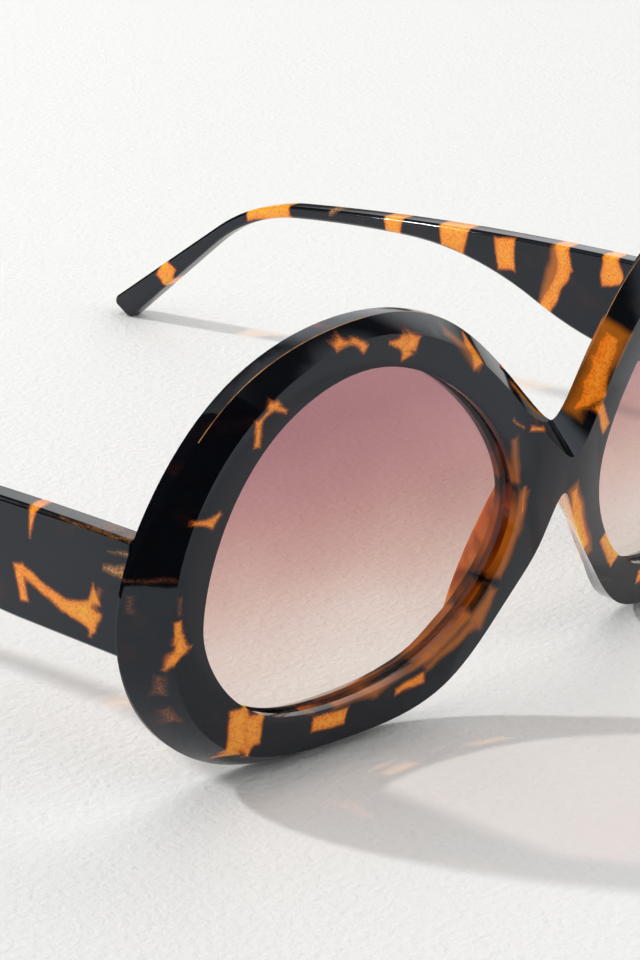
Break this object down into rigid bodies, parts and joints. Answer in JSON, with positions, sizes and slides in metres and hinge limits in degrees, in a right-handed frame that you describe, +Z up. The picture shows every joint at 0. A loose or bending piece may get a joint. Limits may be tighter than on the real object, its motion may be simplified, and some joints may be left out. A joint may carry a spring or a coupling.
{
  "type": "oversized sunglasses",
  "caption": "Oversized rounded sunglasses with a bevelled tortoise front, gradient lenses and temples that fold on screwed hinges.",
  "frame": {"origin": "on the table, under the middle of the bounding box", "axes": "+Y to the back along the open temples, +Z up from the table, +X to the wearer's left"},
  "size_m": [0.1474, 0.1632, 0.0638],
  "materials": {
    "tortoise": "polished",
    "lens": "polished, tint fading downwards",
    "pad": "polished",
    "hinge": "satin"
  },
  "bodies": {
    "front": {"front_frame": "tortoise", "right_lens": "lens", "left_lens": "lens", "right_nose_pad": "pad", "left_nose_pad": "pad", "right_front_hinge_leaf": "hinge", "left_front_hinge_leaf": "hinge", "right_hinge_screw": "hinge", "left_hinge_screw": "hinge"},
    "right_temple_arm": {"right_temple": "tortoise", "right_temple_hinge_leaf": "hinge"},
    "left_temple_arm": {"left_temple": "tortoise", "left_temple_hinge_leaf": "hinge"}
  },
  "joints": [
    {"name": "right_temple_fold", "type": "hinge", "parent": "front", "child": "right_temple_arm", "pos_m": [-0.06608, -0.0649, 0.03065], "axis": [0, 0.0776, -0.997], "range_deg": [0, 87]},
    {"name": "left_temple_fold", "type": "hinge", "parent": "front", "child": "left_temple_arm", "pos_m": [0.06608, -0.0649, 0.03065], "axis": [0, -0.0776, 0.997], "range_deg": [0, 92.5]}
  ]
}
